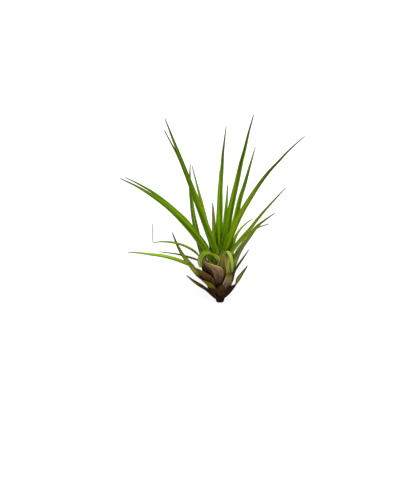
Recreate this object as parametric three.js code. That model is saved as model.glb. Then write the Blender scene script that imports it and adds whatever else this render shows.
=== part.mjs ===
import * as THREE from 'three';

// Stem of the plant, in millimetres, along the plant's own axis (its +Z)
const STEM_HEIGHT = 21;
const STEM_FOOT_RADIUS = 3.2;
const STEM_TOP_RADIUS = 1.2;
const STEM_SIDES = 20;

// A leaf's rank counts from the lowest and outermost leaf to the innermost
const FIRST_LEAF_HEIGHT = 2.4;
const RANK_RISE = 0.5;
const STEM_CLEARANCE = 0.7;
const LEAF_THICKNESS = 0.6;

// Foot of a sheath flares from the stem, less and less toward the heart
const FLARE_LENGTH = 13;
const FLARE_STEP = 0.355;
const FLARE_LEAN = 38;
const SHEATH_LENGTH = 21.5;
const SHEATH_STEP = 0.17;
const SHEATH_WRAP = 38;
const SHEATH_MOUTH = 0.45;
const WIDEST_HALF = 7;
const OUTER_SHEATH_LEAN = 24;
const INNER_SHEATH_LEAN = 4;
const LAST_RANK = 36;

// Blades
const BLADE_WIDTH = 4.9;
const TIP_WIDTH = 0.62;
const TAPER = 1.6;
const CHANNEL = 52;
const ACROSS = 4;
const SETTLING = 8;

// Dry end of the arched leaf, bent sharply up
const DRY_LEAN = 2;
const KINK = 1.8;

// How the plant lies: it leans back on its foot and on the ends of two leaves
const LEAN_BACK = 60;
const ROLL = 0;

// reach is the tip's distance from the axis, rise its height, bow half the turn of the blade
const LEAVES = [
  { rank: 1, azimuth: 198, reach: 21.3, rise: 16.8, bow: -9, sheath: 9, sheathLean: 50,
    blade: 5.8, twist: -15 },
  { rank: 2, azimuth: 345, reach: 17.2, rise: 22.6, bow: -3, sheath: 11, sheathLean: 37,
    blade: 6.4, twist: 25 },
  { rank: 3, azimuth: 115, reach: 12, rise: 21, bow: 0, sheath: 12, sheathLean: 25,
    blade: 3.6, wrap: 29 },
  { rank: 3, azimuth: 275, reach: 10.3, rise: 11, bow: 0, sheath: 6, sheathLean: 36,
    blade: 5.2, wrap: 20 },
  { rank: 5, azimuth: 40, reach: 12, rise: 19, bow: 0, sheath: 10, sheathLean: 28,
    blade: 3.6, wrap: 22 },
  { rank: 4, azimuth: 228, reach: 16.3, rise: 13.8, bow: 4, sheath: 8, sheathLean: 48,
    blade: 5.8, wrap: 24 },
  { rank: 6, azimuth: 305, reach: 11.6, rise: 19, bow: -4, sheath: 12, sheathLean: 23,
    blade: 4.8, wrap: 26 },
  { rank: 8, azimuth: 84, reach: 14, rise: 24, bow: 0, sheath: 13, sheathLean: 24, blade: 4, wrap: 24 },
  { rank: 7, azimuth: 178, reach: 28.8, rise: 42.7, bow: -14, sheath: 13, sheathLean: 46,
    blade: 5.6, twist: -35 },
  { rank: 9.3, azimuth: 352, reach: 17.5, rise: 32, bow: 0, sheath: 15, sheathLean: 12,
    blade: 4.8, wrap: 27 },
  { rank: 10, azimuth: 151.6, reach: 42.1, rise: 30.8, bow: 4, sheath: 22.5,
    sheathLean: 19, blade: 4, wrap: 20 },
  { rank: 10, azimuth: 203, reach: 59.9, rise: 30.5, bow: 10, sheath: 20, sheathLean: 43,
    blade: 5.4, wrap: 28, twist: -30 },
  { rank: 12, azimuth: 45, reach: 47.6, rise: 54.3, bow: 16, sheathLean: 22, blade: 6.2, wrap: 24 },
  { rank: 14, azimuth: 103, reach: 26, rise: 42, bow: 1, sheathLean: 22, wrap: 20 },
  { rank: 13, azimuth: 224, reach: 15.5, rise: 26, bow: 0, sheath: 18.6, sheathLean: 25,
    blade: 4, wrap: 36, skew: 24, mouth: 0.76, widest: 8.6 },
  { rank: 16.5, azimuth: 213, reach: 46.5, rise: 36.2, bow: 26, sheath: 20, sheathLean: 26,
    blade: 4.2, wrap: 17, dry: 12.4 },
  { rank: 17, azimuth: 155, reach: 19.7, rise: 83.8, bow: -13, sheathLean: 25, blade: 7 },
  { rank: 20, azimuth: 246, leans: [28, 218], length: 20.5, sheath: 17.2, swing: -48,
    blade: 4.4, wrap: 26, twist: -50 },
  { rank: 19, azimuth: 28, reach: 23, rise: 50.7, bow: 36, blade: 4.8, wrap: 34 },
  { rank: 16.5, azimuth: 276, leans: [14, 196], length: 21.5, swing: 34, ease: 0.7,
    blade: 3.8, wrap: 26 },
  { rank: 22, azimuth: 75, reach: 28, rise: 58, bow: 3 },
  { rank: 23, azimuth: 205, reach: 66, rise: 74.4, bow: 17, blade: 6.2, twist: 30 },
  { rank: 22, azimuth: 315, reach: 41.3, rise: 47.3, bow: 20, blade: 4.4 },
  { rank: 25, azimuth: 125, reach: 24, rise: 66, bow: 2, wrap: 28 },
  { rank: 26, azimuth: 187, reach: 57.4, rise: 75.4, bow: 16, blade: 6, wrap: 28, twist: 30 },
  { rank: 25, azimuth: 340, reach: 41.9, rise: 69.2, bow: 3, blade: 6.6 },
  { rank: 28, azimuth: 42, reach: 29, rise: 94.5, bow: 1, blade: 6.2, sheathLean: 10, wrap: 28 },
  { rank: 29, azimuth: 232, reach: 53.4, rise: 109.8, bow: 1, blade: 6.4 },
  { rank: 28, azimuth: 303, reach: 72.4, rise: 98.8, bow: 13, ease: 0.8, swing: 19,
    blade: 6, wrap: 30 },
  { rank: 31, azimuth: 90, reach: 22, rise: 80, bow: 1, wrap: 26 },
  { rank: 32, azimuth: 217, reach: 41.8, rise: 103.3, bow: 6, blade: 5.4, wrap: 30 },
  { rank: 32, azimuth: 300, reach: 39.6, rise: 112.2, bow: 4, blade: 5.6, wrap: 32 },
  { rank: 31, azimuth: 146, reach: 20.5, rise: 83.2, bow: 2, blade: 4.6, wrap: 26 },
  { rank: 35, azimuth: 262, reach: 12.2, rise: 106.3, bow: 2, blade: 5, wrap: 28, swing: 58 },
  { rank: 34, azimuth: 50, reach: 7.3, rise: 71.2, bow: 1, blade: 4.2 },
  { rank: 35, azimuth: 195, reach: 4.6, rise: 60.4, bow: 1, blade: 4.6, wrap: 28, twist: 50 },
];

const radians = THREE.MathUtils.degToRad;
const blend = THREE.MathUtils.lerp;

function stemRadius(height) {
  return blend(STEM_FOOT_RADIUS, STEM_TOP_RADIUS, height / STEM_HEIGHT);
}

// Fills in what a leaf leaves to its rank, then finds its blade's leans and length
function describe(leaf) {
  const age = (leaf.rank - 1) / (LAST_RANK - 1);
  const sheath = leaf.sheath ?? SHEATH_LENGTH - SHEATH_STEP * leaf.rank;
  const foot = FIRST_LEAF_HEIGHT + RANK_RISE * (leaf.rank - 1);
  const full = {
    bow: 0,
    swing: 0,
    twist: 0,
    wrap: SHEATH_WRAP,
    mouth: SHEATH_MOUTH,
    widest: WIDEST_HALF,
    skew: 0,
    dry: 0,
    ease: 1,
    blade: BLADE_WIDTH,
    sheathLean: blend(OUTER_SHEATH_LEAN, INNER_SHEATH_LEAN, age),
    flare: Math.min(FLARE_LENGTH - FLARE_STEP * leaf.rank, sheath * 0.55),
    ...leaf,
    foot,
    sheath,
    footLean: FLARE_LEAN,
  };
  if (!full.leans) {
    full.leans = [full.sheathLean, full.sheathLean];
    full.length = 0;
    let missOut = 0;
    let missUp = 0;
    for (let pass = 0; pass < 2 * SETTLING; pass += 1) {
      const top = walk(full, full.sheath);
      const out = full.reach + missOut - Math.hypot(top.x, top.y);
      const up = full.rise + missUp - top.z;
      const lean = THREE.MathUtils.radToDeg(Math.atan2(out, up));
      const turn = radians(full.bow);
      full.leans = [lean - full.bow, lean + full.bow];
      full.length = Math.hypot(out, up) * (turn === 0 ? 1 : turn / Math.sin(turn));
      // A blade that swings or eases misses its tip: once settled, the miss is taken off
      if (pass >= SETTLING) {
        const tip = walk(full, full.sheath + full.length);
        missOut += full.reach - Math.hypot(tip.x, tip.y);
        missUp += full.rise - tip.z;
      }
    }
  }
  return full;
}

// Lean from the plant's axis, in degrees, at a distance along the leaf
function leanAt(leaf, distance) {
  const keys = [
    [0, leaf.footLean],
    [leaf.flare * 0.8, blend(leaf.footLean, leaf.sheathLean, 0.25)],
    [leaf.flare + leaf.sheath * 0.12, leaf.sheathLean],
    [leaf.sheath * 0.8, leaf.sheathLean],
    [leaf.sheath, leaf.leans[0]],
  ];
  if (distance >= leaf.sheath) {
    const part = leaf.length > 0 ? Math.min(1, (distance - leaf.sheath) / leaf.length) : 0;
    const lean = blend(leaf.leans[0], leaf.leans[1], part ** leaf.ease);
    const past = distance - leaf.sheath - leaf.length;
    return leaf.dry > 0 ? blend(lean, DRY_LEAN, THREE.MathUtils.smoothstep(past, 0, KINK)) : lean;
  }
  for (let i = 1; i < keys.length; i += 1) {
    if (distance <= keys[i][0]) {
      const part = (distance - keys[i - 1][0]) / (keys[i][0] - keys[i - 1][0]);
      return blend(keys[i - 1][1], keys[i][1], part);
    }
  }
  return leaf.leans[0];
}

function headingAt(leaf, distance) {
  const total = leaf.sheath + leaf.length;
  const part = Math.max(0, distance - leaf.flare) / (total - leaf.flare);
  return radians(leaf.azimuth + leaf.swing * part);
}

function direction(leaf, distance) {
  const lean = radians(leanAt(leaf, distance));
  const heading = headingAt(leaf, distance);
  return new THREE.Vector3(
    Math.sin(lean) * Math.cos(heading),
    Math.sin(lean) * Math.sin(heading),
    Math.cos(lean),
  );
}

// Point of the leaf's middle line at a distance from its foot
function walk(leaf, distance) {
  const start = stemRadius(leaf.foot) + STEM_CLEARANCE;
  const angle = radians(leaf.azimuth);
  const point = new THREE.Vector3(start * Math.cos(angle), start * Math.sin(angle), leaf.foot);
  const steps = Math.max(1, Math.ceil(distance / 0.4));
  for (let i = 0; i < steps; i += 1) {
    point.addScaledVector(direction(leaf, (distance * (i + 0.5)) / steps), distance / steps);
  }
  return point;
}

// Half width: a sheath that wraps the stem, then a blade that narrows to its tip
function halfWidth(leaf, distance, radius) {
  const wrap = radians(leaf.wrap) * radius;
  const blade = leaf.blade / 2;
  if (distance < leaf.sheath) {
    const part = distance / leaf.sheath;
    const narrow = THREE.MathUtils.smoothstep(part, leaf.mouth, 1);
    return blend(Math.min(wrap, leaf.widest), Math.min(blade, wrap), narrow);
  }
  const part = Math.min(1, (distance - leaf.sheath) / leaf.length);
  return blend(Math.min(blade, wrap), TIP_WIDTH / 2, part ** TAPER);
}

// One row of points across the leaf: the outer face, then the inner face, edge to edge
function rowAt(leaf, distance) {
  const centre = walk(leaf, distance);
  const lean = radians(leanAt(leaf, distance));
  const heading = headingAt(leaf, distance);
  const radius = Math.hypot(centre.x, centre.y);
  const around = Math.atan2(centre.y, centre.x);
  const free = THREE.MathUtils.smoothstep(distance, leaf.sheath * 0.6, leaf.sheath * 1.25);
  const half = halfWidth(leaf, distance, radius);
  const along = direction(leaf, distance);
  const side = new THREE.Vector3(-Math.sin(around), Math.cos(around), 0);
  const inward = new THREE.Vector3(-Math.cos(around), -Math.sin(around), 0);
  const bladeSide = new THREE.Vector3(-Math.sin(heading), Math.cos(heading), 0);
  const bladeIn = new THREE.Vector3(
    -Math.cos(lean) * Math.cos(heading),
    -Math.cos(lean) * Math.sin(heading),
    Math.sin(lean),
  );
  bladeSide.applyAxisAngle(along, radians(leaf.twist) * free);
  bladeIn.applyAxisAngle(along, radians(leaf.twist) * free);
  side.lerp(bladeSide, free).normalize();
  inward.lerp(bladeIn, free).normalize();
  const curve = blend(radius, half / radians(CHANNEL), free);
  const narrow = THREE.MathUtils.smoothstep(distance, leaf.sheath * leaf.mouth, leaf.sheath);
  const shift = radians(leaf.skew) * (1 - narrow) * (1 - free);
  const outer = [];
  const inner = [];
  for (let i = 0; i <= ACROSS; i += 1) {
    const angle = ((i / ACROSS) * 2 - 1) * (half / curve) + shift;
    const point = centre.clone();
    point.addScaledVector(side, curve * Math.sin(angle));
    point.addScaledVector(inward, curve * (1 - Math.cos(angle)));
    const tangent = side.clone().multiplyScalar(Math.cos(angle));
    tangent.addScaledVector(inward, Math.sin(angle));
    const outward = tangent.cross(along).normalize().multiplyScalar(LEAF_THICKNESS / 2);
    outer.push(point.clone().add(outward));
    inner.push(point.clone().sub(outward));
  }
  return [...outer, ...inner];
}

// Both faces are split into triangles alike, so a bent leaf never crosses itself
function leafGeometry(leaf) {
  const rows = [];
  const sheathRows = leaf.sheath > 11 ? 9 : 6;
  for (let i = 0; i < sheathRows; i += 1) {
    rows.push(rowAt(leaf, (leaf.sheath * i) / sheathRows));
  }
  const bladeRows = leaf.length > 30 ? 12 : 8;
  for (let i = 0; i <= bladeRows; i += 1) {
    rows.push(rowAt(leaf, leaf.sheath + (leaf.length * i) / bladeRows));
  }
  if (leaf.dry > 0) {
    for (const past of [KINK * 0.35, KINK * 0.65, KINK, leaf.dry * 0.55, leaf.dry]) {
      rows.push(rowAt(leaf, leaf.sheath + leaf.length + past));
    }
  }
  const count = 2 * (ACROSS + 1);
  const inside = ACROSS + 1;
  const index = [];
  const quad = (a, b, c, d) => index.push(a, b, c, a, c, d);
  for (let r = 0; r + 1 < rows.length; r += 1) {
    const low = r * count;
    const high = low + count;
    for (let i = 0; i < ACROSS; i += 1) {
      index.push(low + i, low + i + 1, high + i + 1, low + i, high + i + 1, high + i);
      const under = low + inside + i;
      const over = high + inside + i;
      index.push(under, over + 1, under + 1, under, over, over + 1);
    }
    quad(low + ACROSS, low + inside + ACROSS, high + inside + ACROSS, high + ACROSS);
    quad(low + inside, low, high, high + inside);
  }
  const last = (rows.length - 1) * count;
  for (let i = 0; i < ACROSS; i += 1) {
    quad(i + 1, i, inside + i, inside + i + 1);
    quad(last + i, last + i + 1, last + inside + i + 1, last + inside + i);
  }
  const geometry = new THREE.BufferGeometry();
  const points = rows.flat().flatMap((point) => [point.x, point.y, point.z]);
  geometry.setAttribute('position', new THREE.Float32BufferAttribute(points, 3));
  geometry.setIndex(index);
  return geometry;
}

function stemGeometry() {
  const profile = [
    [0, 0.3],
    [1.4, 0.1],
    [2.2, 0.5],
    [2.7, 1.6],
    [STEM_FOOT_RADIUS - 0.2, 3],
    [stemRadius(8), 8],
    [stemRadius(15), 15],
    [STEM_TOP_RADIUS, STEM_HEIGHT],
    [0, STEM_HEIGHT + 0.8],
  ].map(([radius, height]) => new THREE.Vector2(radius, height));
  return new THREE.LatheGeometry(profile, STEM_SIDES).rotateX(Math.PI / 2);
}

const pose = new THREE.Matrix4().makeRotationY(radians(ROLL));
pose.multiply(new THREE.Matrix4().makeRotationX(radians(-LEAN_BACK)));

const leafMaterial = new THREE.MeshStandardMaterial({ color: 0x5f8a12, roughness: 0.55, metalness: 0 });
const sheathMaterial = new THREE.MeshStandardMaterial({ color: 0x6b4a35, roughness: 0.7, metalness: 0 });
const stemMaterial = new THREE.MeshStandardMaterial({ color: 0x3a2416, roughness: 0.85, metalness: 0 });

const group = new THREE.Group();
group.name = 'air_plant';

function add(name, geometry, material) {
  geometry.applyMatrix4(pose);
  geometry.computeVertexNormals();
  const mesh = new THREE.Mesh(geometry, material);
  mesh.name = name;
  group.add(mesh);
}

add('stem', stemGeometry(), stemMaterial);
LEAVES.forEach((entry, place) => {
  const leaf = describe(entry);
  const material = leaf.rank < 7 ? sheathMaterial : leafMaterial;
  add(`leaf_${String(place + 1).padStart(2, '0')}`, leafGeometry(leaf), material);
});

// The origin is the middle of the foot of the box round the plant
const box = new THREE.Box3().setFromObject(group);
const middle = box.getCenter(new THREE.Vector3());
group.children.forEach((mesh) => mesh.geometry.translate(-middle.x, -middle.y, -box.min.z));

export default group;
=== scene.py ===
"""An air plant: narrow channelled leaves from nested sheaths, laid down on a pale floor."""

import logging
import math
from dataclasses import dataclass, field
from enum import Enum
from typing import Any

import bpy
from mathutils import Matrix, Vector, noise


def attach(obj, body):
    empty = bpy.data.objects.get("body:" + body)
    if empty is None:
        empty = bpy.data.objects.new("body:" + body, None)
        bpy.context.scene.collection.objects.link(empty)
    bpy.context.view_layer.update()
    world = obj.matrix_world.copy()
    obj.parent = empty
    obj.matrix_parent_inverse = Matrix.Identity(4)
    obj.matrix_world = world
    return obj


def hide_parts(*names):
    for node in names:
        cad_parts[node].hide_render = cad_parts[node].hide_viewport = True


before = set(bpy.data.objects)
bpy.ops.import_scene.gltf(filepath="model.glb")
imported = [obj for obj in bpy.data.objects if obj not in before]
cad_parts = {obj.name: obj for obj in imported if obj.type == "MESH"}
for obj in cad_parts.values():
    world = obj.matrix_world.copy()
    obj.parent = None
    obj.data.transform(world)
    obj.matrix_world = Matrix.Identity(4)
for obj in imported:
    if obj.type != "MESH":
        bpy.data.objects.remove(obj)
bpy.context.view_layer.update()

log = logging.getLogger("air_plant")

MM = 0.001
BODY = "root"

# How the plant lies, in the part's own frame: lean in degrees, foot of the stem in mm
LEAN_BACK = 60.0
FOOT = Vector((5.057, -45.532, 2.355))
LEANING = Matrix.Rotation(math.radians(-LEAN_BACK), 4, "X")
PLACE = Matrix.Translation(FOOT * MM) @ LEANING @ Matrix.Scale(MM, 4)

# A leaf's own colour carries half its width in its fourth channel, in this many mm
WIDTH_UNIT = 10.0


def mix(a: float, b: float, part: float) -> float:
    """A number between a and b.

    Args:
        a: The number at part 0.
        b: The number at part 1.
        part: How far from a to b.

    Returns:
        The number in between.
    """
    return a + (b - a) * part


def smooth(value: float, low: float, high: float) -> float:
    """A soft step from 0 to 1.

    Args:
        value: The number to step on.
        low: Where the step starts.
        high: Where it ends.

    Returns:
        0 below low, 1 above high.
    """
    part = min(1.0, max(0.0, (value - low) / (high - low)))
    return part * part * (3 - 2 * part)


def linear(red: int, green: int, blue: int) -> tuple[float, float, float]:
    """A colour as Blender's shaders count it.

    Args:
        red: Display red, 0 to 255.
        green: Display green, 0 to 255.
        blue: Display blue, 0 to 255.

    Returns:
        The same colour in linear light.
    """

    def one(level: int) -> float:
        """One channel in linear light."""
        part = level / 255
        return part / 12.92 if part <= 0.04045 else ((part + 0.055) / 1.055) ** 2.4

    return one(red), one(green), one(blue)


class Tone(Enum):
    """Colours that a leaf passes through from its foot to its tip."""

    BARK = linear(32, 12, 4)
    EARTH = linear(66, 32, 8)
    PLUM = linear(146, 110, 96)
    UMBER = linear(92, 64, 26)
    BRONZE = linear(146, 120, 48)
    OLIVE = linear(86, 84, 10)
    MOSS = linear(98, 120, 10)
    MUSTARD = linear(138, 124, 22)
    LIME = linear(144, 172, 20)
    FRESH = linear(115, 158, 6)
    GRASS = linear(100, 146, 4)
    DEEP = linear(82, 118, 4)
    SHADE = linear(62, 90, 6)
    HEART = linear(62, 94, 4)
    FROST = linear(138, 164, 58)
    SAGE = linear(110, 126, 58)
    STRAW = linear(190, 180, 132)
    TAN = linear(190, 164, 96)
    RUST = linear(112, 72, 42)
    COFFEE = linear(84, 82, 36)
    ASH = linear(128, 130, 84)
    ROSE = linear(176, 154, 146)
    WINE = linear(172, 130, 96)
    HAY = linear(166, 166, 62)
    KHAKI = linear(112, 104, 18)


class Mark(Enum):
    """Colours that are laid over a leaf's own: real marks, a painted highlight and a painted shadow."""

    # Painted highlight on the lit side of a blade
    LIT_BAND = linear(148, 180, 12)
    BLOTCH = linear(48, 18, 4)
    FLECK = linear(110, 84, 34)
    MOUTH = linear(168, 150, 92)
    SCALE = linear(158, 148, 138)
    # Painted shadow on the dark side of a sheath
    HOLLOW = linear(36, 16, 8)
    RIM = linear(206, 192, 142)


@dataclass(frozen=True)
class Leaf:
    """One leaf: where it stands on the stem, how it bends, and its colours.

    Angles are in degrees and sizes in mm.

    Attributes:
        rank: Its place on the stem, from 1 for the outermost.
        azimuth: Its side of the stem: 0 right, 90 behind, 180 left, 270 in front.
        reach: The tip's distance from the stem's axis.
        rise: The tip's height over the stem's foot.
        bow: Half the turn of the blade, over 0 where it arches outwards.
        sheath: Length of the sheath, or 0 where it follows from the rank.
        sheath_lean: Lean of the sheath, or under 0 where it follows from the rank.
        blade: Width of the blade at its foot.
        wrap: How far the sheath reaches round the stem to either side.
        swing: How far the blade turns round the stem from foot to tip.
        twist: Turn of the blade about its own middle line.
        leans: Leans of the two ends of a blade that curls over.
        length: Length of such a blade.
        ease: Power that brings the bend on, early under 1.
        dry: Length of a dry end that is bent up.
        tones: Colours from the foot to the tip.
        scales: Share of grey scales.
        wither: Where the blade starts to dry, as a share of it.
        mouth: Where the sheath starts to narrow, as a share of it.
        widest: The most that half a sheath's width can be.
        skew: Turn of the sheath round the stem.
        margin: Strength of its pale edge.
        patch: Strength of a painted shadow on one side of the sheath.
        tip: Width of the tip.
    """

    rank: float
    azimuth: float
    reach: float = 0.0
    rise: float = 0.0
    bow: float = 0.0
    sheath: float = 0.0
    sheath_lean: float = -1.0
    blade: float = 4.9
    wrap: float = 38.0
    swing: float = 0.0
    twist: float = 0.0
    leans: tuple[float, float] | None = None
    length: float = 0.0
    ease: float = 1.0
    dry: float = 0.0
    tones: tuple[Tone, Tone, Tone, Tone, Tone] = (Tone.UMBER, Tone.MOSS, Tone.GRASS, Tone.DEEP, Tone.COFFEE)
    scales: float = 0.2
    wither: float = 0.9
    mouth: float = 0.45
    widest: float = 7.0
    skew: float = 0.0
    margin: float = 0.06
    patch: float = 0.0
    tip: float = 0.5


LEAVES = (
    Leaf(
        1, 198, 21.3, 16.8, -9, sheath=9, sheath_lean=50, blade=5.8, twist=10, wrap=44, mouth=0.7,
        tones=(Tone.EARTH, Tone.EARTH, Tone.UMBER, Tone.MUSTARD, Tone.COFFEE),
    ),
    Leaf(
        2, 345, 17.2, 22.6, -3, sheath=11, sheath_lean=37, blade=6.4, twist=36, wrap=48, mouth=0.7,
        tones=(Tone.EARTH, Tone.EARTH, Tone.HAY, Tone.MUSTARD, Tone.SHADE), wither=0.55,
    ),
    Leaf(
        3, 115, 12, 21, sheath=12, sheath_lean=25, blade=3.6, wrap=29,
        tones=(Tone.BARK, Tone.PLUM, Tone.OLIVE, Tone.RUST, Tone.COFFEE), scales=0.7,
    ),
    Leaf(
        3, 275, 10.3, 11, sheath=6, sheath_lean=36, blade=5.2, wrap=20,
        tones=(Tone.BARK, Tone.UMBER, Tone.UMBER, Tone.UMBER, Tone.EARTH),
    ),
    Leaf(
        5, 40, 12, 19, sheath=10, sheath_lean=28, blade=3.6, wrap=22,
        tones=(Tone.BARK, Tone.PLUM, Tone.OLIVE, Tone.COFFEE, Tone.ASH), scales=0.7,
    ),
    Leaf(
        4, 228, 16.3, 13.8, 4, sheath=8, sheath_lean=48, blade=5.8, wrap=34,
        tones=(Tone.BARK, Tone.UMBER, Tone.MUSTARD, Tone.MUSTARD, Tone.OLIVE),
    ),
    Leaf(
        6, 305, 11.6, 19, -4, sheath=12, sheath_lean=23, blade=4.8, wrap=26,
        tones=(Tone.UMBER, Tone.PLUM, Tone.MUSTARD, Tone.OLIVE, Tone.OLIVE), scales=0.8, margin=0.8,
    ),
    Leaf(
        8, 84, 14, 24, sheath=13, sheath_lean=24, blade=4, wrap=24,
        tones=(Tone.UMBER, Tone.PLUM, Tone.OLIVE, Tone.RUST, Tone.TAN), scales=0.8,
    ),
    Leaf(
        7, 178, 28.8, 42.7, -14, sheath=13, sheath_lean=46, blade=5.6, twist=-35, wrap=50, mouth=0.65,
        tones=(Tone.BARK, Tone.BRONZE, Tone.HAY, Tone.MOSS, Tone.RUST), wither=0.7,
    ),
    Leaf(
        9.3, 352, 17.5, 32, sheath=15, sheath_lean=12, blade=4.8, wrap=27,
        tones=(Tone.UMBER, Tone.OLIVE, Tone.COFFEE, Tone.RUST, Tone.RUST), scales=0.6,
    ),
    Leaf(
        10, 151.6, 42.1, 30.8, 4, sheath=22.5, sheath_lean=19, blade=4, wrap=28, mouth=0.65,
        tones=(Tone.UMBER, Tone.OLIVE, Tone.DEEP, Tone.DEEP, Tone.ASH), wither=0.82,
    ),
    Leaf(
        10, 203, 59.9, 30.5, 10, sheath=20, sheath_lean=43, blade=5.4, wrap=42, twist=-30, mouth=0.55,
        tones=(Tone.BARK, Tone.BRONZE, Tone.LIME, Tone.FRESH, Tone.SHADE),
    ),
    Leaf(
        12, 45, 47.6, 54.3, 16, sheath_lean=22, blade=6.2, wrap=24,
        tones=(Tone.OLIVE, Tone.HAY, Tone.SAGE, Tone.SHADE, Tone.RUST), wither=0.7, scales=0.65,
    ),
    Leaf(
        14, 103, 26, 42, 1, sheath_lean=22, wrap=20,
        tones=(Tone.UMBER, Tone.MOSS, Tone.GRASS, Tone.DEEP, Tone.TAN),
    ),
    Leaf(
        13, 224, 15.5, 26, sheath=18.6, sheath_lean=25, blade=4, wrap=36, skew=24, mouth=0.76, widest=8.6,
        tones=(Tone.BARK, Tone.WINE, Tone.TAN, Tone.OLIVE, Tone.UMBER), scales=0.9, margin=1,
        patch=1,
    ),
    Leaf(
        16.5, 213, 46.5, 36.2, 26, sheath=20, sheath_lean=26, blade=4.2, wrap=44, dry=12.4, twist=-30,
        tones=(Tone.UMBER, Tone.MUSTARD, Tone.MOSS, Tone.MOSS, Tone.ROSE), mouth=0.75, wither=1,
    ),
    Leaf(
        17, 155, 19.7, 83.8, -13, sheath_lean=25, blade=8.4,
        tones=(Tone.MOSS, Tone.SHADE, Tone.SHADE, Tone.SHADE, Tone.RUST), wither=0.8, margin=0.6,
    ),
    Leaf(
        20, 246, leans=(28, 218), length=17.8, sheath=17.2, swing=-48, blade=4.4, wrap=34, twist=-50,
        tones=(Tone.UMBER, Tone.MOSS, Tone.MOSS, Tone.MOSS, Tone.FROST), mouth=0.7, wither=0.4,
        margin=0.45, tip=2.2,
    ),
    Leaf(
        19, 28, 23, 50.7, 36, blade=4.8, wrap=34,
        tones=(Tone.UMBER, Tone.LIME, Tone.LIME, Tone.LIME, Tone.MUSTARD), wither=0.6,
    ),
    Leaf(
        16.5, 276, leans=(14, 196), length=22.8, swing=34, ease=0.7, blade=3.8, wrap=26,
        tones=(Tone.BARK, Tone.KHAKI, Tone.HAY, Tone.FROST, Tone.FROST), wither=0, margin=0.6, tip=1.2,
        scales=0.1,
    ),
    Leaf(22, 75, 28, 58, 3),
    Leaf(
        23, 205, 66, 74.4, 17, blade=6.2, twist=30, wrap=70, mouth=0.85, widest=8.2,
        tones=(Tone.HAY, Tone.LIME, Tone.FRESH, Tone.FRESH, Tone.OLIVE),
    ),
    Leaf(
        22, 315, 41.3, 47.3, 20, blade=4.4,
        tones=(Tone.HAY, Tone.HAY, Tone.LIME, Tone.LIME, Tone.STRAW), wither=0.78,
    ),
    Leaf(25, 125, 24, 66, 2, wrap=28, tones=(Tone.UMBER, Tone.MOSS, Tone.GRASS, Tone.DEEP, Tone.TAN)),
    Leaf(
        26, 187, 57.4, 75.4, 16, blade=6, wrap=28, twist=30,
        tones=(Tone.UMBER, Tone.GRASS, Tone.FRESH, Tone.FRESH, Tone.OLIVE),
    ),
    Leaf(
        25, 340, 41.9, 69.2, 3, blade=6.6,
        tones=(Tone.UMBER, Tone.FRESH, Tone.LIME, Tone.MOSS, Tone.COFFEE), wither=0.75,
    ),
    Leaf(
        28, 42, 29, 94.5, 1, blade=6.2, sheath_lean=10, wrap=28,
        tones=(Tone.MOSS, Tone.GRASS, Tone.DEEP, Tone.SHADE, Tone.COFFEE), wither=0.84,
    ),
    Leaf(
        29, 232, 53.4, 109.8, 1, blade=6.4,
        tones=(Tone.GRASS, Tone.FRESH, Tone.FRESH, Tone.DEEP, Tone.COFFEE),
    ),
    Leaf(
        28, 303, 72.4, 98.8, 13, ease=0.8, swing=19, blade=6, wrap=30,
        tones=(Tone.HEART, Tone.FRESH, Tone.LIME, Tone.MOSS, Tone.SHADE),
    ),
    Leaf(31, 90, 22, 80, 1, wrap=26, tones=(Tone.MOSS, Tone.DEEP, Tone.GRASS, Tone.DEEP, Tone.COFFEE)),
    Leaf(
        32, 217, 41.8, 103.3, 6, blade=5.4, wrap=30,
        tones=(Tone.HEART, Tone.LIME, Tone.GRASS, Tone.DEEP, Tone.ASH),
    ),
    Leaf(
        32, 300, 39.6, 112.2, 4, blade=5.6, wrap=32,
        tones=(Tone.HEART, Tone.FRESH, Tone.FRESH, Tone.DEEP, Tone.COFFEE),
    ),
    Leaf(
        31, 146, 20.5, 83.2, -0.5, blade=4.6, wrap=26,
        tones=(Tone.HEART, Tone.DEEP, Tone.MOSS, Tone.DEEP, Tone.RUST), wither=0.92,
    ),
    Leaf(
        35, 262, 12.2, 106.3, 2, blade=5, wrap=28, swing=58,
        tones=(Tone.HEART, Tone.SHADE, Tone.FRESH, Tone.DEEP, Tone.ASH), wither=0.82,
    ),
    Leaf(
        34, 50, 7.3, 71.2, 1, blade=4.2,
        tones=(Tone.HEART, Tone.GRASS, Tone.FRESH, Tone.FRESH, Tone.RUST), wither=0.8,
    ),
    Leaf(
        35, 195, 4.6, 60.4, 1, blade=4.6, wrap=28, twist=50,
        tones=(Tone.HEART, Tone.FRESH, Tone.LIME, Tone.HAY, Tone.ROSE), wither=0.8,
    ),
)
OLD_LEAVES = (1, 2, 3, 4, 5, 6, 7, 15)


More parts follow.
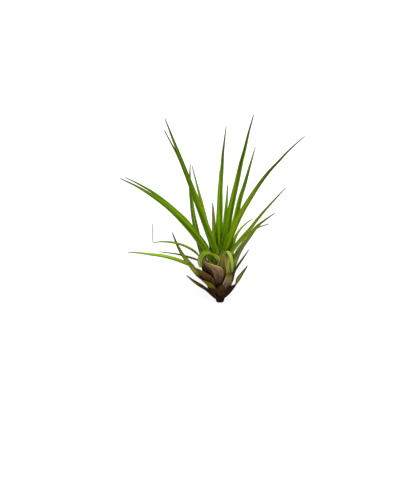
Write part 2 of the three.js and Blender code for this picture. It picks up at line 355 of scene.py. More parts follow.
class Value:
    """A number in a shader, which takes part in sums as a Python number does."""

    def __init__(self, graph: "Graph", socket: bpy.types.NodeSocket) -> None:
        """Wraps one output of a node."""
        self.graph = graph
        self.socket = socket

    def maths(self, operation: str, *numbers: Any) -> "Value":
        """Adds a Math node.

        Args:
            operation: The node's operation.
            numbers: Its inputs in order, numbers or values.

        Returns:
            The node's result.
        """
        made = self.graph.node("ShaderNodeMath", {"operation": operation}, dict(enumerate(numbers)))
        return Value(self.graph, made.outputs[0])

    def __add__(self, other: Any) -> "Value":
        """This number plus another."""
        return self.maths("ADD", self, other)

    __radd__ = __add__

    def __sub__(self, other: Any) -> "Value":
        """This number less another."""
        return self.maths("SUBTRACT", self, other)

    def __rsub__(self, other: Any) -> "Value":
        """Another number less this one."""
        return self.maths("SUBTRACT", other, self)

    def __mul__(self, other: Any) -> "Value":
        """This number times another."""
        return self.maths("MULTIPLY", self, other)

    __rmul__ = __mul__

    def size(self) -> "Value":
        """This number without its sign."""
        return self.maths("ABSOLUTE", self)

    def step(self, low: float, high: float) -> "Value":
        """A soft step on this number, from 0 at low to 1 at high."""
        made = self.graph.node(
            "ShaderNodeMapRange",
            {"interpolation_type": "SMOOTHSTEP"},
            {"Value": self, "From Min": low, "From Max": high},
        )
        return Value(self.graph, made.outputs[0])


class Graph:
    """The nodes of one material."""

    def __init__(self, name: str) -> None:
        """Makes an empty material of that name."""
        self.material = bpy.data.materials.new(name)
        self.material.use_nodes = True
        self.tree = self.material.node_tree
        self.tree.nodes.clear()

    def node(
        self,
        kind: str,
        settings: dict[str, Any] | None = None,
        sockets: dict[Any, Any] | None = None,
    ) -> bpy.types.Node:
        """Adds one node.

        Args:
            kind: The node's type.
            settings: Its properties, which are set first.
            sockets: Its inputs by name or place, each a number, a colour, a value or a socket.

        Returns:
            The node.
        """
        made = self.tree.nodes.new(kind)
        for name, setting in (settings or {}).items():
            setattr(made, name, setting)
        for name, given in (sockets or {}).items():
            source = given.socket if isinstance(given, Value) else given
            if isinstance(source, bpy.types.NodeSocket):
                self.tree.links.new(source, made.inputs[name])
            else:
                made.inputs[name].default_value = source
        return made

    def blend(self, part: Any, a: Any, b: Any) -> bpy.types.NodeSocket:
        """Mixes two colours.

        Args:
            part: How much of b there is, a number or a value.
            a: The first colour.
            b: The second colour.

        Returns:
            The mixed colour's socket.
        """
        colours = {
            6: a if isinstance(a, bpy.types.NodeSocket) else (*a, 1),
            7: b if isinstance(b, bpy.types.NodeSocket) else (*b, 1),
        }
        made = self.node("ShaderNodeMix", {"data_type": "RGBA"}, {0: part, **colours})
        return made.outputs[2]

    def attribute(self, name: str, output: str) -> bpy.types.NodeSocket:
        """Reads one of the piece's own attributes."""
        return self.node("ShaderNodeAttribute", {"attribute_name": name}).outputs[output]

    def parts(self, vector: bpy.types.NodeSocket) -> tuple[Value, Value, Value]:
        """Splits a vector into its three numbers."""
        made = self.node("ShaderNodeSeparateXYZ", None, {0: vector})
        return tuple(Value(self, output) for output in made.outputs)

    def scaled(self, colour: bpy.types.NodeSocket, share: Value) -> bpy.types.NodeSocket:
        """Makes a colour lighter or darker."""
        made = self.node("ShaderNodeVectorMath", {"operation": "SCALE"}, {0: colour, "Scale": share})
        return made.outputs[0]

    def noise(self, place: bpy.types.NodeSocket, scale: float, detail: float) -> Value:
        """Adds a Noise Texture on a place, and gives its height from 0 to 1."""
        made = self.node("ShaderNodeTexNoise", None, {"Vector": place, "Scale": scale, "Detail": detail})
        return Value(self, made.outputs["Fac"])

    def stretched(
        self, place: bpy.types.NodeSocket, scale: tuple[float, float, float]
    ) -> bpy.types.NodeSocket:
        """Stretches a place by a Mapping node."""
        return self.node("ShaderNodeMapping", None, {"Vector": place, "Scale": scale}).outputs[0]

    def object_place(self) -> bpy.types.NodeSocket:
        """The place on the piece, in metres."""
        return self.node("ShaderNodeTexCoord").outputs["Object"]

    def bump(self, height: Value, strength: float, distance: float) -> bpy.types.NodeSocket:
        """Turns a height into a normal.

        Args:
            height: The height from 0 to about 1.
            strength: How much of the relief there is.
            distance: What a height of 1 is, in metres.

        Returns:
            The normal's socket.
        """
        made = self.node(
            "ShaderNodeBump", None, {"Height": height, "Strength": strength, "Distance": distance}
        )
        return made.outputs[0]

    def surface(self, sockets: dict[Any, Any]) -> bpy.types.Material:
        """Ends the material in a Principled shader.

        Args:
            sockets: The shader's inputs by name.

        Returns:
            The finished material.
        """
        shader = self.node("ShaderNodeBsdfPrincipled", None, sockets)
        self.node("ShaderNodeOutputMaterial", None, {"Surface": shader.outputs[0]})
        return self.material


@dataclass(frozen=True)
class LeafSkin:
    """The finish of one face of a leaf: veins, grey scales, flecks, a pale margin, a dry end, and painted
    highlights and shade.

    Attributes:
        name: The material's name.
        veins: Veins from edge to edge.
        light: How much lighter the face is than the leaf's own colour.
        scale_share: How much of the sheath its grey scales cover.
        gloss: Roughness of a fresh blade.
        rough: Roughness of a sheath.
        shine: Strength of its reflections.
        painted_foot_shade: How much darker a sheath is painted than its blade, as painted shade where the
            sheaths nest.
        mottle_scale: Mottles to a metre.
        blotch_scale: Brown blotches to a metre.
        grain_scale: Grains of a sheath's rough skin to a metre.
        spot_scale: Grey scales to a metre.
        relief: Height of the relief in metres.
    """

    name: str
    veins: float
    light: float
    scale_share: float
    gloss: float
    rough: float
    shine: float = 0.04
    painted_foot_shade: float = 0.0
    mottle_scale: float = 480.0
    blotch_scale: float = 170.0
    grain_scale: float = 1700.0
    spot_scale: float = 3400.0
    relief: float = 0.0002

    def make(self) -> bpy.types.Material:
        """Makes the material, which reads the leaf's own map and attributes.

        Returns:
            The material.
        """
        g = Graph(self.name)
        place = g.object_place()
        uv = g.node("ShaderNodeUVMap", {"uv_map": "Blade"}).outputs[0]
        u = g.parts(uv)[0]
        across = (u - 0.5).size() * 2
        tone = g.attribute("Tone", "Color")
        half = Value(g, g.attribute("Tone", "Alpha")) * WIDTH_UNIT
        sheath, dry, scaly = g.parts(g.attribute("Growth", "Vector"))
        margin, brown, patch = g.parts(g.attribute("Marks", "Vector"))
        edge = (1 - across) * half
        blade = 1 - sheath

        # Veins, streaks and the broad bands of painted highlight and painted shade run along the leaf, the
        # rest lies as it may
        vein = g.noise(g.stretched(uv, (self.veins, 0.3, 1)), 1.0, 2.0)
        streak = g.noise(g.stretched(uv, (self.veins * 0.3, 0.1, 1)), 1.0, 3.0)
        light_and_shade_band = g.noise(g.stretched(uv, (3.4, 0.035, 1)), 1.0, 1.0)
        mottle = g.noise(place, self.mottle_scale, 4.0)
        blotch = g.noise(place, self.blotch_scale, 3.0)
        grain = g.noise(place, self.grain_scale, 2.0)
        cells = g.node(
            "ShaderNodeTexVoronoi", {"feature": "F1"}, {"Vector": place, "Scale": self.spot_scale}
        )
        spot = 1 - Value(g, cells.outputs["Distance"]).step(0.16, 0.42)

        # The leaf's own colour with a painted highlight and painted shade in bands along it, and painted
        # shade at a blade's edges
        # Painted highlight on the lit side of each band
        base = g.blend(light_and_shade_band.step(0.5, 0.6) * 0.65 * blade * (1 - brown), tone, Mark.LIT_BAND.value)
        shade = (vein - 0.5) * 0.4 + (mottle - 0.5) * (0.3 + sheath) + (streak - 0.5) * 0.6 + self.light
        # Painted shade on the dark side of each band and along a blade's edges, which turn away from the
        # light
        shade = shade - (0.5 - light_and_shade_band).step(0.0, 0.12) * 0.55 - (1 - edge.step(0.1, 0.7)) * 0.45 * blade
        # Painted shade on the sheath, darkest towards the foot where the sheaths nest
        base = g.scaled(base, shade - self.painted_foot_shade * sheath)
        base = g.blend(blotch.step(0.44, 0.6) * brown * sheath * 0.75, base, Mark.BLOTCH.value)
        base = g.blend(mottle.step(0.6, 0.72) * blade * (0.06 + dry * 0.6), base, Mark.FLECK.value)

        # A sheath's pale mouth, grey scales, a painted shadow on one side and a dry rim
        open_edge = margin * (1 - patch * sheath.step(0.72, 0.95) * 0.85)
        mouth = (1 - sheath).step(0.02, 0.3) * sheath.step(0.0, 0.3) * margin * open_edge
        base = g.blend((1 - edge.step(2.4, 6.0)) * mouth * 0.9, base, Mark.MOUTH.value)
        scales = spot * scaly * self.scale_share * (0.2 + streak)
        base = g.blend(scales, base, Mark.SCALE.value)
        # Painted shadow on one side of the sheath, where other leaves shade it
        base = g.blend(patch * (0.54 - u).step(0.02, 0.12) * sheath * 0.85, base, Mark.HOLLOW.value)
        rim = (1 - edge.step(0.25, 0.75)) * open_edge * (0.25 + 0.75 * sheath.step(0.05, 0.4))
        base = g.blend(rim, base, Mark.RIM.value)

        rough = self.gloss + sheath * (self.rough - self.gloss) + dry * 0.25 + (mottle - 0.5) * 0.12
        height = vein * 0.7 + mottle * (0.3 + sheath) + grain * sheath * 0.5 + scales * 0.8
        return g.surface(
            {
                "Base Color": base,
                "Roughness": rough,
                "Specular IOR Level": self.shine,
                "Normal": g.bump(height, 0.5, self.relief),
            }
        )


@dataclass(frozen=True)
class WoodSkin:
    """The dry, dark, fibrous skin of the stem's stub.

    Attributes:
        name: The material's name.
        dark: Colour of its darkest patches.
        brown: Colour of the rest.
        fibre: Colour of the fibres that stand out.
        fibre_scale: Fibres to a metre.
        patch_scale: Dark patches to a metre.
        relief: Height of the relief in metres.
    """

    name: str = "stem_bark"
    dark: tuple[float, float, float] = linear(24, 12, 8)
    brown: tuple[float, float, float] = linear(58, 36, 22)
    fibre: tuple[float, float, float] = linear(98, 78, 56)
    fibre_scale: float = 1500.0
    patch_scale: float = 380.0
    relief: float = 0.0003

    def make(self) -> bpy.types.Material:
        """Makes the material on the stem's own place.

        Returns:
            The material.
        """
        g = Graph(self.name)
        place = g.object_place()
        grain = g.noise(g.stretched(place, (1, 0.25, 0.4)), self.fibre_scale, 4.0)
        patch = g.noise(place, self.patch_scale, 3.0)
        base = g.blend(patch.step(0.35, 0.7), self.dark, self.brown)
        base = g.blend(grain.step(0.55, 0.8) * 0.5, base, self.fibre)
        return g.surface(
            {
                "Base Color": base,
                "Roughness": 0.8 + (grain - 0.5) * 0.2,
                "Specular IOR Level": 0.12,
                "Normal": g.bump(grain + patch * 0.5, 0.6, self.relief),
            }
        )


@dataclass(frozen=True)
class Paper:
    """The plain pale floor under the plant.

    Attributes:
        name: The material's name.
        grey: What it gives back of the light on it.
        glow: Its own light, which keeps it white.
    """

    name: str = "floor_paper"
    grey: float = 0.4
    glow: float = 0.85

    def make(self) -> bpy.types.Material:
        """Makes a nearly even, matt white.

        Returns:
            The material.
        """
        g = Graph(self.name)
        tooth = g.noise(g.object_place(), 60.0, 2.0)
        return g.surface(
            {
                "Base Color": (self.grey, self.grey, self.grey, 1),
                "Roughness": 0.9 + tooth * 0.05,
                "Specular IOR Level": 0.1,
                "Emission Color": (1, 1, 1, 1),
                "Emission Strength": self.glow,
            }
        )


def deselect() -> None:
    """Clears the selection before an operator acts."""
    if bpy.context.object and bpy.context.object.mode != "OBJECT":
        bpy.ops.object.mode_set(mode="OBJECT")
    bpy.ops.object.select_all(action="DESELECT")


def apply(piece: bpy.types.Object, kind: str, **settings: Any) -> None:
    """Adds a modifier to the active piece and applies it.

    Args:
        piece: The active object.
        kind: The modifier's type.
        settings: Its properties.
    """
    modifier = piece.modifiers.new(kind.lower(), kind)
    for name, setting in settings.items():
        setattr(modifier, name, setting)
    bpy.ops.object.modifier_apply(modifier=modifier.name)


@dataclass
class LeafPath:
    """The middle line of a leaf, walked from its foot in short steps.

    Attributes:
        leaf: The leaf that it belongs to.
        first_height: Height of the lowest leaf's foot on the stem.
        rank_rise: How much higher the foot is from rank to rank.
        clearance: From the stem's skin to the middle line at its foot.
        stem_foot: The stem's radius at its foot.
        stem_top: Its radius at its top.
        stem_height: Its height.
        flare_longest: Length of the bend at the foot of the outermost sheath.
        flare_step: How much shorter that is from rank to rank.
        flare_share: The most that it takes of a sheath.
        foot_lean: Lean of every leaf at its foot, in degrees.
        sheath_longest: Length of the longest sheath.
        sheath_step: How much shorter a sheath is from rank to rank.
        outer_lean: Lean of the outermost sheath, in degrees.
        inner_lean: Lean of the innermost sheath, in degrees.
        last_rank: Rank of the innermost leaf.
        dry_lean: Lean of a dry end, in degrees.
        kink: Length of the sharp bend before a dry end.
        stride: Longest step of the walk.
        settling: Rounds that aim a blade at its tip, then as many that take off the miss.
        sheath: Length of this sheath.
        foot: Height of this leaf's foot.
        sheath_lean: Lean of this sheath, in degrees.
        flare: Length of its bend at the foot.
        leans: Leans of the blade's two ends, in degrees.
        length: Length of the blade.
        total: Length of the whole leaf.
    """

    leaf: Leaf
    first_height: float = 2.4
    rank_rise: float = 0.5
    clearance: float = 0.7
    stem_foot: float = 3.2
    stem_top: float = 1.2
    stem_height: float = 21.0
    flare_longest: float = 13.0
    flare_step: float = 0.355
    flare_share: float = 0.55
    foot_lean: float = 38.0
    sheath_longest: float = 21.5
    sheath_step: float = 0.17
    outer_lean: float = 24.0
    inner_lean: float = 4.0
    last_rank: float = 36.0
    dry_lean: float = 2.0
    kink: float = 1.8
    stride: float = 0.25
    settling: int = 8
    sheath: float = field(init=False)
    foot: float = field(init=False)
    sheath_lean: float = field(init=False)
    flare: float = field(init=False)
    leans: tuple[float, float] = field(init=False)
    length: float = field(init=False)
    total: float = field(init=False)

    def __post_init__(self) -> None:
        """Fills in what the leaf leaves to its rank, then finds the blade's leans and length."""
        leaf = self.leaf
        age = (leaf.rank - 1) / (self.last_rank - 1)
        self.sheath = leaf.sheath or self.sheath_longest - self.sheath_step * leaf.rank
        self.foot = self.first_height + self.rank_rise * (leaf.rank - 1)
        self.sheath_lean = leaf.sheath_lean
        if leaf.sheath_lean < 0:
            self.sheath_lean = mix(self.outer_lean, self.inner_lean, age)
        flare = self.flare_longest - self.flare_step * leaf.rank
        self.flare = min(flare, self.sheath * self.flare_share)
        self.leans = leaf.leans or (self.sheath_lean, self.sheath_lean)
        self.length = leaf.length
        miss_out = miss_up = 0.0
        for turn_round in range(0 if leaf.leans else 2 * self.settling):
            top = self.points([self.sheath])[0]
            out = leaf.reach + miss_out - math.hypot(top.x, top.y)
            up = leaf.rise + miss_up - top.z
            lean = math.degrees(math.atan2(out, up))
            turn = math.radians(leaf.bow)
            self.leans = (lean - leaf.bow, lean + leaf.bow)
            self.length = math.hypot(out, up) * (turn / math.sin(turn) if turn else 1)
            if turn_round >= self.settling:
                tip = self.points([self.sheath + self.length])[0]
                miss_out += leaf.reach - math.hypot(tip.x, tip.y)
                miss_up += leaf.rise - tip.z
        self.total = self.sheath + self.length + leaf.dry

    def lean(self, distance: float) -> float:
        """The lean from the plant's axis.

        Args:
            distance: The distance from the foot, in mm.

        Returns:
            The lean there, in degrees.
        """
        if distance >= self.sheath:
            part = min(1.0, (distance - self.sheath) / self.length) if self.length > 0 else 0.0
            lean = mix(*self.leans, part**self.leaf.ease)
            past = distance - self.sheath - self.length
            return mix(lean, self.dry_lean, smooth(past, 0, self.kink)) if self.leaf.dry else lean
        keys = (
            (0.0, self.foot_lean),
            (self.flare * 0.8, mix(self.foot_lean, self.sheath_lean, 0.25)),
            (self.flare + self.sheath * 0.12, self.sheath_lean),
            (self.sheath * 0.8, self.sheath_lean),
            (self.sheath, self.leans[0]),
        )
        for (low, start), (high, end) in zip(keys, keys[1:]):
            if distance <= high:
                return mix(start, end, (distance - low) / (high - low))
        return self.leans[0]

    def heading(self, distance: float) -> float:
        """The way that the leaf heads round the axis, in radians."""
        part = max(0.0, distance - self.flare) / (self.sheath + self.length - self.flare)
        return math.radians(self.leaf.azimuth + self.leaf.swing * part)

    def direction(self, distance: float) -> Vector:
        """The way that the middle line runs."""
        lean, heading = math.radians(self.lean(distance)), self.heading(distance)
        out = math.sin(lean)
        return Vector((out * math.cos(heading), out * math.sin(heading), math.cos(lean)))

    def points(self, distances: list[float]) -> list[Vector]:
        """Walks the middle line.

        Args:
            distances: Rising distances from the foot, in mm.

        Returns:
            The point at each of them, in the plant's own frame.
        """
        start = mix(self.stem_foot, self.stem_top, self.foot / self.stem_height) + self.clearance
        angle = math.radians(self.leaf.azimuth)
        here = Vector((start * math.cos(angle), start * math.sin(angle), self.foot))
        walked, found = 0.0, []
        for distance in distances:
            steps = max(1, math.ceil((distance - walked) / self.stride))
            step = (distance - walked) / steps
            for i in range(steps):
                here = here + self.direction(walked + step * (i + 0.5)) * step
            walked = distance
            found.append(here.copy())
        return found


@dataclass
class LeafBuilder:
    """Makes each leaf from a grid that is laid along its path, thickened and rounded.

    Attributes:
        across: Faces from edge to edge.
        sheath_pitch: Distance between rows on a sheath, in mm.
        blade_pitch: The same on a blade.
        curl_pitch: The same on a blade that curls over.
        kink_rows: Rows on the bend before a dry end.
        dry_rows: Rows on the dry end.
        thickness: Thickness in the middle of a leaf, in mm.
        edge_share: Thickness of an edge as a share of that.
        tip_share: Where a tip lies between an edge's thickness, 0, and the middle's, 1.
        taper: Power that narrows a blade, late over 1.
        tuck: How far a foot is drawn in onto the stem, in mm.
        tuck_length: Over what length it is, in mm.
        wander: The most that a blade strays from its path to one side, in mm.
        wander_pace: How fast that changes along it.
        wander_spread: How fast that changes with its azimuth.
        wander_rows: Places in the noise for the three directions.
        channel: Half the arc of a blade's channel, in degrees.
        free: Where a leaf starts and ends to leave the stem's round, as shares of its sheath.
        old_ranks: Ranks between which the brown of old sheaths fades.
        map_share: How far the map runs on in a mm of the leaf.
        skins: The finishes of the outer and the inner face.
    """

    across: int = 10
    sheath_pitch: float = 1.25
    blade_pitch: float = 2.0
    curl_pitch: float = 1.1
    kink_rows: int = 5
    dry_rows: int = 6
    thickness: float = 0.6
    edge_share: float = 0.5
    tip_share: float = 0.6
    taper: float = 1.6
    tuck: float = 1.0
    tuck_length: float = 4.0
    wander: float = 0.5
    wander_pace: float = 0.07
    wander_spread: float = 0.37
    wander_rows: tuple[float, float, float] = (0.3, 40.3, 80.3)
    channel: float = 52.0
    free: tuple[float, float] = (0.6, 1.25)
    old_ranks: tuple[float, float] = (6, 19)
    map_share: float = 0.5
    skins: list[bpy.types.Material] = field(default_factory=list)

    def half_width(self, path: LeafPath, distance: float, radius: float) -> float:
        """Half the leaf's width: a sheath that wraps the stem, then a blade that narrows.

        Args:
            path: The leaf's path.
            distance: The distance from its foot, in mm.
            radius: The middle line's distance from the plant's axis there, in mm.

        Returns:
            Half the width, in mm.
        """
        wrap = math.radians(path.leaf.wrap) * radius
        blade = path.leaf.blade / 2
        if distance < path.sheath:
            part = smooth(distance / path.sheath, path.leaf.mouth, 1)
            return mix(min(wrap, path.leaf.widest), min(blade, wrap), part)
        part = min(1.0, (distance - path.sheath) / path.length)
        return mix(min(blade, wrap), path.leaf.tip / 2, part**self.taper)

    def row(self, path: LeafPath, distance: float, centre: Vector) -> list[Vector]:
        """One row of points from edge to edge.

        Args:
            path: The leaf's path.
            distance: The row's distance from the foot, in mm.
            centre: The point of the middle line there.

        Returns:
            The points, in the plant's own frame.
        """
        lean, heading = math.radians(path.lean(distance)), path.heading(distance)
        radius, around = math.hypot(centre.x, centre.y), math.atan2(centre.y, centre.x)
        free = smooth(distance, path.sheath * self.free[0], path.sheath * self.free[1])
        half = self.half_width(path, distance, radius)
        along = path.direction(distance)
        turn = Matrix.Rotation(math.radians(path.leaf.twist) * free, 3, along)
        blade_side = turn @ Vector((-math.sin(heading), math.cos(heading), 0))
        blade_in = turn @ Vector(
            (-math.cos(lean) * math.cos(heading), -math.cos(lean) * math.sin(heading), math.sin(lean))
        )
        side = Vector((-math.sin(around), math.cos(around), 0)).lerp(blade_side, free).normalized()
        inward = Vector((-math.cos(around), -math.sin(around), 0)).lerp(blade_in, free).normalized()
        curve = mix(radius, half / math.radians(self.channel), free)
        narrow = smooth(distance, path.sheath * path.leaf.mouth, path.sheath)
        shift = math.radians(path.leaf.skew) * (1 - narrow) * (1 - free)
        points = []
        for i in range(self.across + 1):
            angle = (i / self.across * 2 - 1) * half / curve + shift
            points.append(centre + side * curve * math.sin(angle) + inward * curve * (1 - math.cos(angle)))
        return points

    def distances(self, path: LeafPath) -> list[float]:
        """Where the leaf's rows are, closer together on the sheath and at a bend.

        Args:
            path: The leaf's path.

        Returns:
            Their distances from the foot, in mm.
        """
        sheath_rows = round(path.sheath / self.sheath_pitch)
        pitch = self.curl_pitch if path.leaf.leans else self.blade_pitch
        blade_rows = max(8, round(path.length / pitch))
        rows = [path.sheath * i / sheath_rows for i in range(sheath_rows)]
        rows += [path.sheath + path.length * i / blade_rows for i in range(blade_rows + 1)]
        if path.leaf.dry:
            end = path.sheath + path.length
            past = path.leaf.dry - path.kink
            rows += [end + path.kink * i / self.kink_rows for i in range(1, self.kink_rows + 1)]
            rows += [end + path.kink + past * i / self.dry_rows for i in range(1, self.dry_rows + 1)]
        return rows

    def grown(self, path: LeafPath, distances: list[float]) -> list[Vector]:
        """The middle line as grown: its foot drawn in onto the stem, its blade a little uneven.

        Args:
            path: The leaf's path.
            distances: Rising distances from the foot, in mm.

        Returns:
            The point at each of them, in the plant's own frame.
        """
        points = path.points(distances)
        for distance, point in zip(distances, points):
            inward = Vector((-point.x, -point.y, 0)).normalized()
            point += inward * self.tuck * (1 - smooth(distance, 0, self.tuck_length))
            part = distance / path.total
            leaf = path.leaf
            here = Vector((distance * self.wander_pace, leaf.azimuth * self.wander_spread, leaf.rank))
            wander = Vector([noise.noise(here + Vector((0, row, 0))) for row in self.wander_rows])
            point += wander * self.wander * smooth(part, 0.2, 0.5) * (1 - smooth(part, 0.75, 1))
        return points

    def colour(self, path: LeafPath, distance: float) -> Vector:
        """The leaf's own colour.

        Args:
            path: The leaf's path.
            distance: The distance from its foot, in mm.

        Returns:
            The colour there, in linear light.
        """
        leaf = path.leaf
        blade = path.total - path.sheath
        mouth = path.sheath * 0.85
        stops = (
            (0.0, leaf.tones[0]),
            (mouth, leaf.tones[1]),
            (mouth + blade * 0.22, leaf.tones[2]),
            (path.sheath + blade * mix(0.5, 0.9, leaf.wither) * 0.95, leaf.tones[3]),
            (path.sheath + blade * mix(0.75, 1.0, leaf.wither), leaf.tones[4]),
        )
        if leaf.dry:
            end = path.sheath + path.length
            stops = stops[:3] + ((end - 3, leaf.tones[3]), (end + path.kink, leaf.tones[4]))
        for (low, a), (high, b) in zip(stops, stops[1:]):
            if distance <= high:
                return Vector(a.value).lerp(Vector(b.value), smooth(distance, low, high))
        return Vector(leaf.tones[4].value)

    def make(self, name: str, leaf: Leaf) -> bpy.types.Object:
        """Makes one leaf.

        Args:
            name: The piece's name.
            leaf: What the leaf is like.

        Returns:
            The finished piece, at the origin, with its place in its mesh.
        """
        path = LeafPath(leaf)
        distances = self.distances(path)
        rows = [self.row(path, d, c) for d, c in zip(distances, self.grown(path, distances))]
        deselect()
        bpy.ops.mesh.primitive_grid_add(
            x_subdivisions=self.across, y_subdivisions=len(rows) - 1, size=1, calc_uvs=True
        )
        piece = bpy.context.object
        piece.name = piece.data.name = name
        mesh = piece.data
        for vertex, point in zip(mesh.vertices, (p for row in rows for p in row)):
            vertex.co = PLACE @ point
        self.mark(piece, path, distances)
        for skin in self.skins:
            mesh.materials.append(skin)
        apply(
            piece,
            "SOLIDIFY",
            thickness=self.thickness * MM,
            offset=0,
            vertex_group="Thick",
            thickness_vertex_group=self.edge_share,
            material_offset=1,
            use_quality_normals=True,
        )
        apply(piece, "SUBSURF", levels=1, render_levels=1)
        bpy.ops.object.shade_smooth()
        return piece

    def mark(self, piece: bpy.types.Object, path: LeafPath, distances: list[float]) -> None:
        """Writes the leaf's map, thickness, colours and growth, which its skins read.

        Args:
            piece: The grid, laid along its path.
            path: The leaf's path.
            distances: The distance of each row.
        """
        mesh, leaf = piece.data, path.leaf
        count = self.across + 1
        places = [(distances[i // count], i % count / self.across) for i in range(len(mesh.vertices))]
        blade = path.total - path.sheath
        thick = piece.vertex_groups.new(name="Thick")
        for i, (distance, part) in enumerate(places):
            slim = mix(1, self.tip_share, (max(0.0, distance - path.sheath) / blade) ** 2)
            thick.add([i], (1 - abs(part * 2 - 1) ** 3) * slim, "REPLACE")
        mesh.color_attributes.new("Tone", "FLOAT_COLOR", "POINT")
        mesh.attributes.new("Growth", "FLOAT_VECTOR", "POINT")
        mesh.attributes.new("Marks", "FLOAT_VECTOR", "POINT")
        mesh.uv_layers[0].name = "Blade"
        names = ("Tone", "Growth", "Marks", "Blade")
        tones, growth, marks, layer = (mesh.attributes[name].data for name in names)
        age = 1 - smooth(leaf.rank, *self.old_ranks)
        radii = {d: math.hypot(c.x, c.y) for d, c in zip(distances, path.points(distances))}
        for i, (distance, _) in enumerate(places):
            sheath = 1 - smooth(distance, path.sheath * 0.55, path.sheath * 1.3)
            dry = smooth(max(0.0, distance - path.sheath) / blade, leaf.wither * 0.8, 1.0)
            half = self.half_width(path, distance, radii[distance])
            tones[i].color = (*self.colour(path, distance), half / WIDTH_UNIT)
            growth[i].vector = (sheath, dry, leaf.scales * mix(leaf.scales * 0.3, 1, sheath))
            # The third mark is the strength of the painted shadow on one side of the sheath
            marks[i].vector = (leaf.margin, age, leaf.patch)
        for loop in mesh.loops:
            distance, part = places[loop.vertex_index]
            layer[loop.index].vector = (part, distance * self.map_share)


@dataclass
class Stem:
    """The short woody stub that the sheaths grow from.

    Attributes:
        sides: Faces round the stem.
        sunk: How far the rough skin lies in from the rings, in mm.
        roughness: Height of its roughness, in mm.
        fine: Fine bumps to a metre.
        coarse: Coarse bumps to a metre.
        profile: Radius and height of each ring, in mm, from the foot up.
    """

    sides: int = 40
    sunk: float = 0.06
    roughness: float = 0.2
    fine: float = 900.0
    coarse: float = 260.0
    profile: tuple[tuple[float, float], ...] = (
        (0.9, 0.2),
        (1.5, 0.25),
        (2.1, 0.6),
        (2.55, 1.4),
        (2.8, 2.4),
        (2.75, 4),
        (2.4, 8),
        (1.75, 15),
        (1.15, 21),
        (0.6, 21.6),
    )

    def make(self, skin: bpy.types.Material) -> bpy.types.Object:
        """Raises the stem ring by ring from a disc, and roughens it.

        Args:
            skin: Its finish.

        Returns:
            The finished piece, at the origin, with its place in its mesh.
        """
        deselect()
        radius, height = self.profile[0]
        bpy.ops.mesh.primitive_circle_add(
            vertices=self.sides, radius=radius * MM, fill_type="NGON", location=(0, 0, height * MM)
        )
        piece = bpy.context.object
        piece.name = piece.data.name = "stem_stub"
        bpy.ops.object.transform_apply(location=True)
        bpy.ops.object.mode_set(mode="EDIT")
        bpy.ops.mesh.select_all(action="SELECT")
        for ring, height_now in self.profile[1:]:
            bpy.ops.mesh.extrude_region_move(
                TRANSFORM_OT_translate={"value": (0, 0, (height_now - height) * MM)}
            )
            share = ring / radius
            bpy.ops.transform.resize(value=(share, share, 1), center_override=(0, 0, height_now * MM))
            radius, height = ring, height_now
        bpy.ops.mesh.select_all(action="SELECT")
        bpy.ops.mesh.normals_make_consistent(inside=False)
        bpy.ops.object.mode_set(mode="OBJECT")
        for vertex in piece.data.vertices:
            out = Vector((vertex.co.x, vertex.co.y, 0))
            grain = noise.noise(vertex.co * self.fine) * 0.25
            grain += noise.noise(vertex.co * self.coarse) * 0.3
            if out.length > 0:
                vertex.co -= out.normalized() * (self.sunk + grain * self.roughness) * MM
            vertex.co = PLACE @ (vertex.co / MM)
        piece.data.materials.append(skin)
        apply(piece, "SUBSURF", levels=1, render_levels=1)
        bpy.ops.object.shade_smooth()
        return piece


@dataclass(frozen=True)
class Lamp:
    """One square soft light, turned to the plant.

    Attributes:
        name: Its name.
        place: Where it hangs, in metres.
        size: Its side in metres.
        power: Its power in watts.
    """

    name: str
    place: tuple[float, float, float]
    size: float
    power: float

    def hang(self) -> None:
        """Hangs the light, out of the camera's sight."""
        lamp = bpy.data.lights.new(self.name, "AREA")
        lamp.shape, lamp.size, lamp.energy = "SQUARE", self.size, self.power
        holder = bpy.data.objects.new(self.name, lamp)
        bpy.context.scene.collection.objects.link(holder)
        holder.location = self.place
        holder.rotation_euler = (-Vector(self.place)).to_track_quat("-Z", "Y").to_euler()
        holder.visible_camera = False


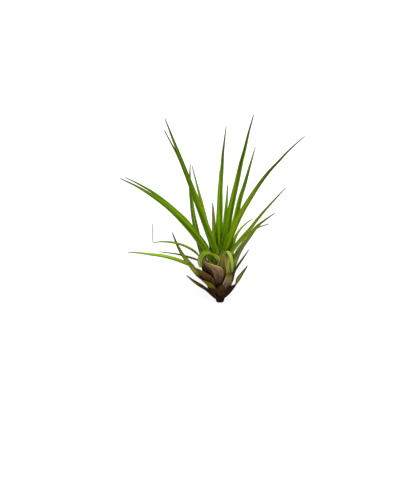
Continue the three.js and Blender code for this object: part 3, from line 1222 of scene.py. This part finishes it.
@dataclass
class Studio:
    """The pale floor, the soft lights and the camera of the photograph.

    Attributes:
        target: The point in the middle of the picture, in the plant's own frame, in mm.
        span: What the picture's long side takes in there, in mm.
        lens: Focal length in mm.
        sensor: Width of the camera's sensor in mm.
        clip: The nearest and the farthest that the camera sees, in metres.
        floor_size: The floor's side in metres.
        room: Strength of the even light from all round.
        lamps: The lights that hang over the plant.
    """

    target: Vector = field(default_factory=lambda: Vector((-12, 0, 31.8)))
    span: float = 300.0
    lens: float = 300.0
    sensor: float = 36.0
    clip: tuple[float, float] = (0.05, 50)
    floor_size: float = 6.0
    room: float = 0.42
    lamps: tuple[Lamp, ...] = (
        Lamp("key", (0.1, 0.8, 1.1), 0.6, 18.5),
        Lamp("fill", (0.9, -0.6, 0.9), 0.9, 3),
    )

    def floor(self) -> None:
        """Lays the floor that the plant rests on."""
        deselect()
        bpy.ops.mesh.primitive_plane_add(size=self.floor_size)
        floor = bpy.context.object
        floor.name = "floor"
        floor.data.materials.append(Paper().make())
        floor.visible_diffuse = floor.visible_glossy = False

    def sky(self) -> None:
        """Lights the room evenly from all round."""
        world = bpy.data.worlds.new("room")
        bpy.context.scene.world = world
        world.use_nodes = True
        back = world.node_tree.nodes["Background"]
        back.inputs[0].default_value = (1, 1, 1, 1)
        back.inputs[1].default_value = self.room

    def camera(self) -> None:
        """Sets the camera square to the leaning stem, framed as the photograph is."""
        data = bpy.data.cameras.new("camera")
        data.lens, data.sensor_width = self.lens, self.sensor
        data.clip_start, data.clip_end = self.clip
        camera = bpy.data.objects.new("camera", data)
        bpy.context.scene.collection.objects.link(camera)
        away = self.span * MM * self.lens / self.sensor
        turn = PLACE.to_3x3().normalized()
        back = turn @ Vector((0, -1, 0))
        camera.location = PLACE @ self.target + back * away
        camera.rotation_euler = (-back).to_track_quat("-Z", "Y").to_euler()
        bpy.context.scene.camera = camera

    def make(self) -> None:
        """Sets up the floor, lights and camera."""
        self.camera()
        self.floor()
        self.sky()
        for lamp in self.lamps:
            lamp.hang()
        bpy.context.scene.view_settings.view_transform = "Standard"


def main() -> None:
    """Builds the studio, the stem and every leaf, and reports each piece."""
    logging.basicConfig(level=logging.INFO, format="%(name)s: %(message)s")
    Studio().make()
    stem = Stem().make(WoodSkin().make())
    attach(stem, BODY)
    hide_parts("stem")
    log.info("stem: %d faces", len(stem.data.polygons))
    under = LeafSkin("leaf_under", veins=26, light=1.24, scale_share=0.6, gloss=0.5, rough=0.75)
    upper = LeafSkin(
        "leaf_upper", veins=30, light=1.35, scale_share=0.3, gloss=0.45, rough=0.7, painted_foot_shade=0.35
    )
    builder = LeafBuilder(skins=[under.make(), upper.make()])
    for place, leaf in enumerate(LEAVES, 1):
        node = f"leaf_{place:02d}"
        piece = builder.make(f"{node}_blade", leaf)
        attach(piece, BODY)
        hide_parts(node)
        "old_leaf" if place in OLD_LEAVES else "leaf"
        log.info("%s: %d faces", node, len(piece.data.polygons))


if __name__ == "__main__":
    main()
